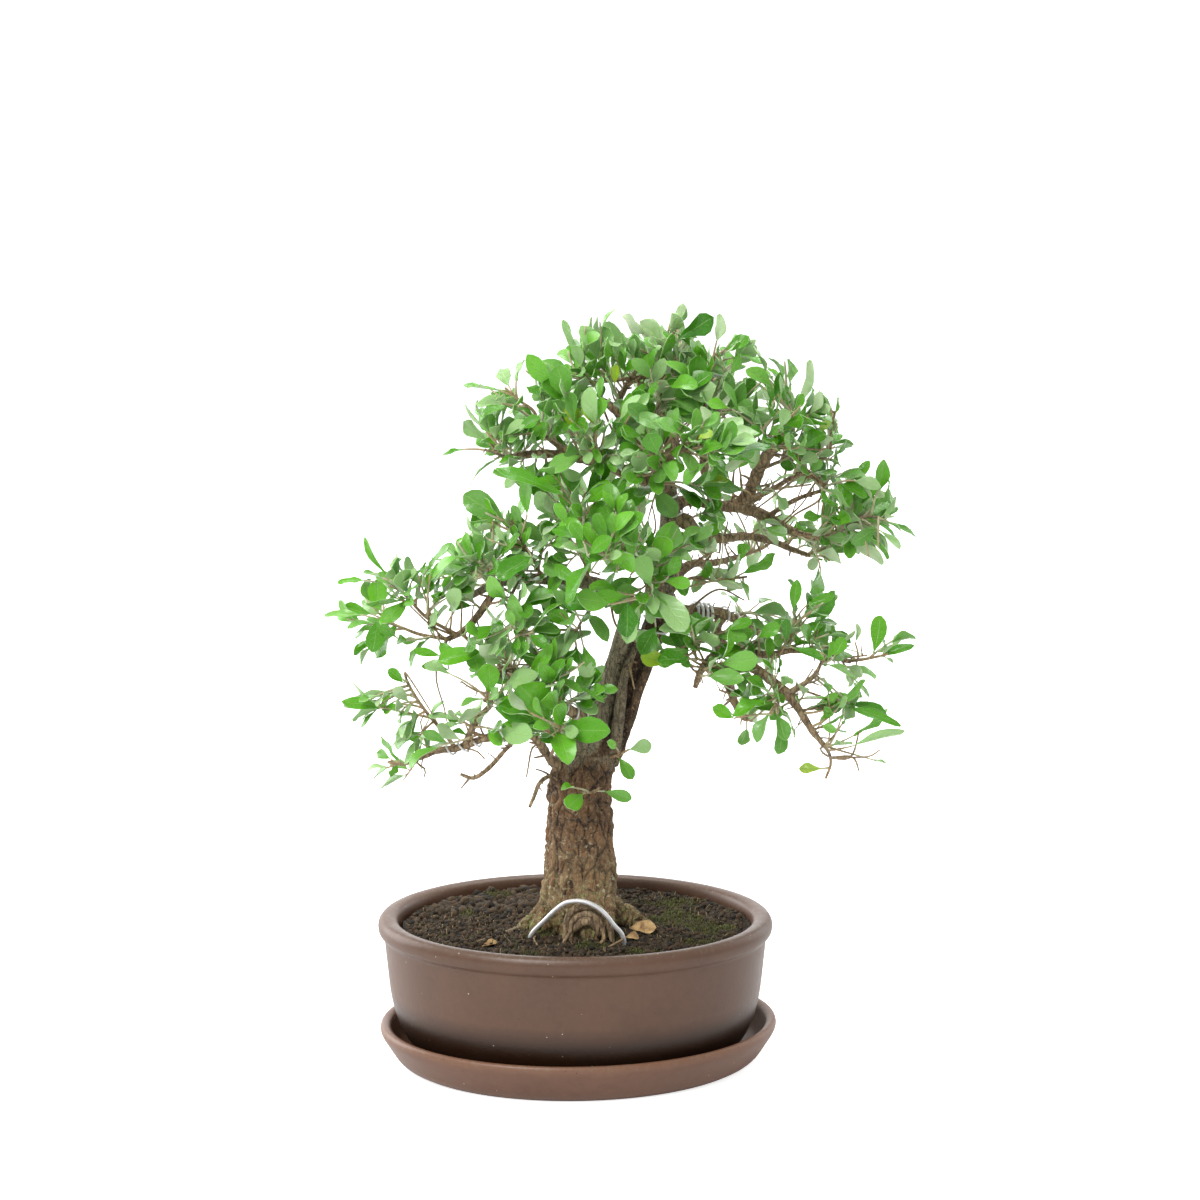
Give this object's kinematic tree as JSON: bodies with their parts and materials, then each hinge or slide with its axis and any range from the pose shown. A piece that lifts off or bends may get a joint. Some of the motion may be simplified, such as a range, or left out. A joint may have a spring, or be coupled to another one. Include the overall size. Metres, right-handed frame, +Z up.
{
  "type": "potted bonsai tree",
  "caption": "Thorny olive bonsai with a thick trunk, forked branches and spoon-shaped leaves, in an oval glazed pot on a matching saucer",
  "frame": {"origin": "on the surface that the saucer stands on, under the middle of the pot", "axes": "+Z up, +X to the right along the pot's length seen from the front, which faces -Y"},
  "size_m": [0.3799, 0.2211, 0.4942],
  "materials": {
    "glaze": "satin brown glaze",
    "soil": "matt crumbs",
    "bark": "rough bark",
    "leaf": "waxy, glossy leaf",
    "dryLeaf": "dry leaf",
    "wire": "satin anodised"
  },
  "bodies": {
    "root": {"saucer": "glaze", "pot": "glaze", "soil": "soil", "wood": "bark", "fallenLeaf1": "dryLeaf", "fallenLeaf2": "dryLeaf", "fallenLeaf3": "dryLeaf", "wireTrunk": "wire", "wireRight": "wire", "wireLeft": "wire", "wireBase": "wire", "leafyTopLeader": "leaf", "leafyTopLeft": "leaf", "leafyTopRight": "leaf", "leafyTopBack": "leaf", "leafyBackCrown": "leaf", "leafyLeftTwig": "leaf", "leafyLeftTip": "leaf", "leafyLeftRise": "leaf", "leafyLeftFront": "leaf", "leafyLeftBack": "leaf", "leafyFrontCrown": "leaf", "leafyFrontPale": "leaf", "leafyFrontRise": "leaf", "leafyRightHigh": "leaf", "leafyRightDark": "leaf", "leafyCrownMid": "leaf", "leafyRightTwig": "leaf", "leafyRightTip": "leaf", "leafyRightBack": "leaf", "leafyRightInner": "leaf", "leafyBackRight": "leaf", "leafyBackMid": "leaf", "leafyMidBig": "leaf", "leafyMidLeft": "leaf", "leafyFrontMid": "leaf", "leafyFrontLow": "leaf", "leafyPaleShoot": "leaf", "leafyMidUnder": "leaf", "leafyMidRight": "leaf", "leafyPadTip": "leaf", "leafyPadLow": "leaf", "leafyPadTop": "leaf", "leafyPadBack": "leaf", "leafyPadUnder": "leaf", "leafyLowUp": "leaf", "leafyLowTip": "leaf", "leafyLowFork": "leaf", "leafyLowBig": "leaf", "leafyLowArch": "leaf", "leafyLowBack": "leaf", "leafyTrunkRight": "leaf", "leafyTrunkFront": "leaf", "leafyRightRear": "leaf", "leafyRightUp": "leaf", "leafyRightFar": "leaf", "leafyRightDown": "leaf", "leafyRightHang": "leaf", "leafyRightLowBack": "leaf"}
  },
  "joints": []
}
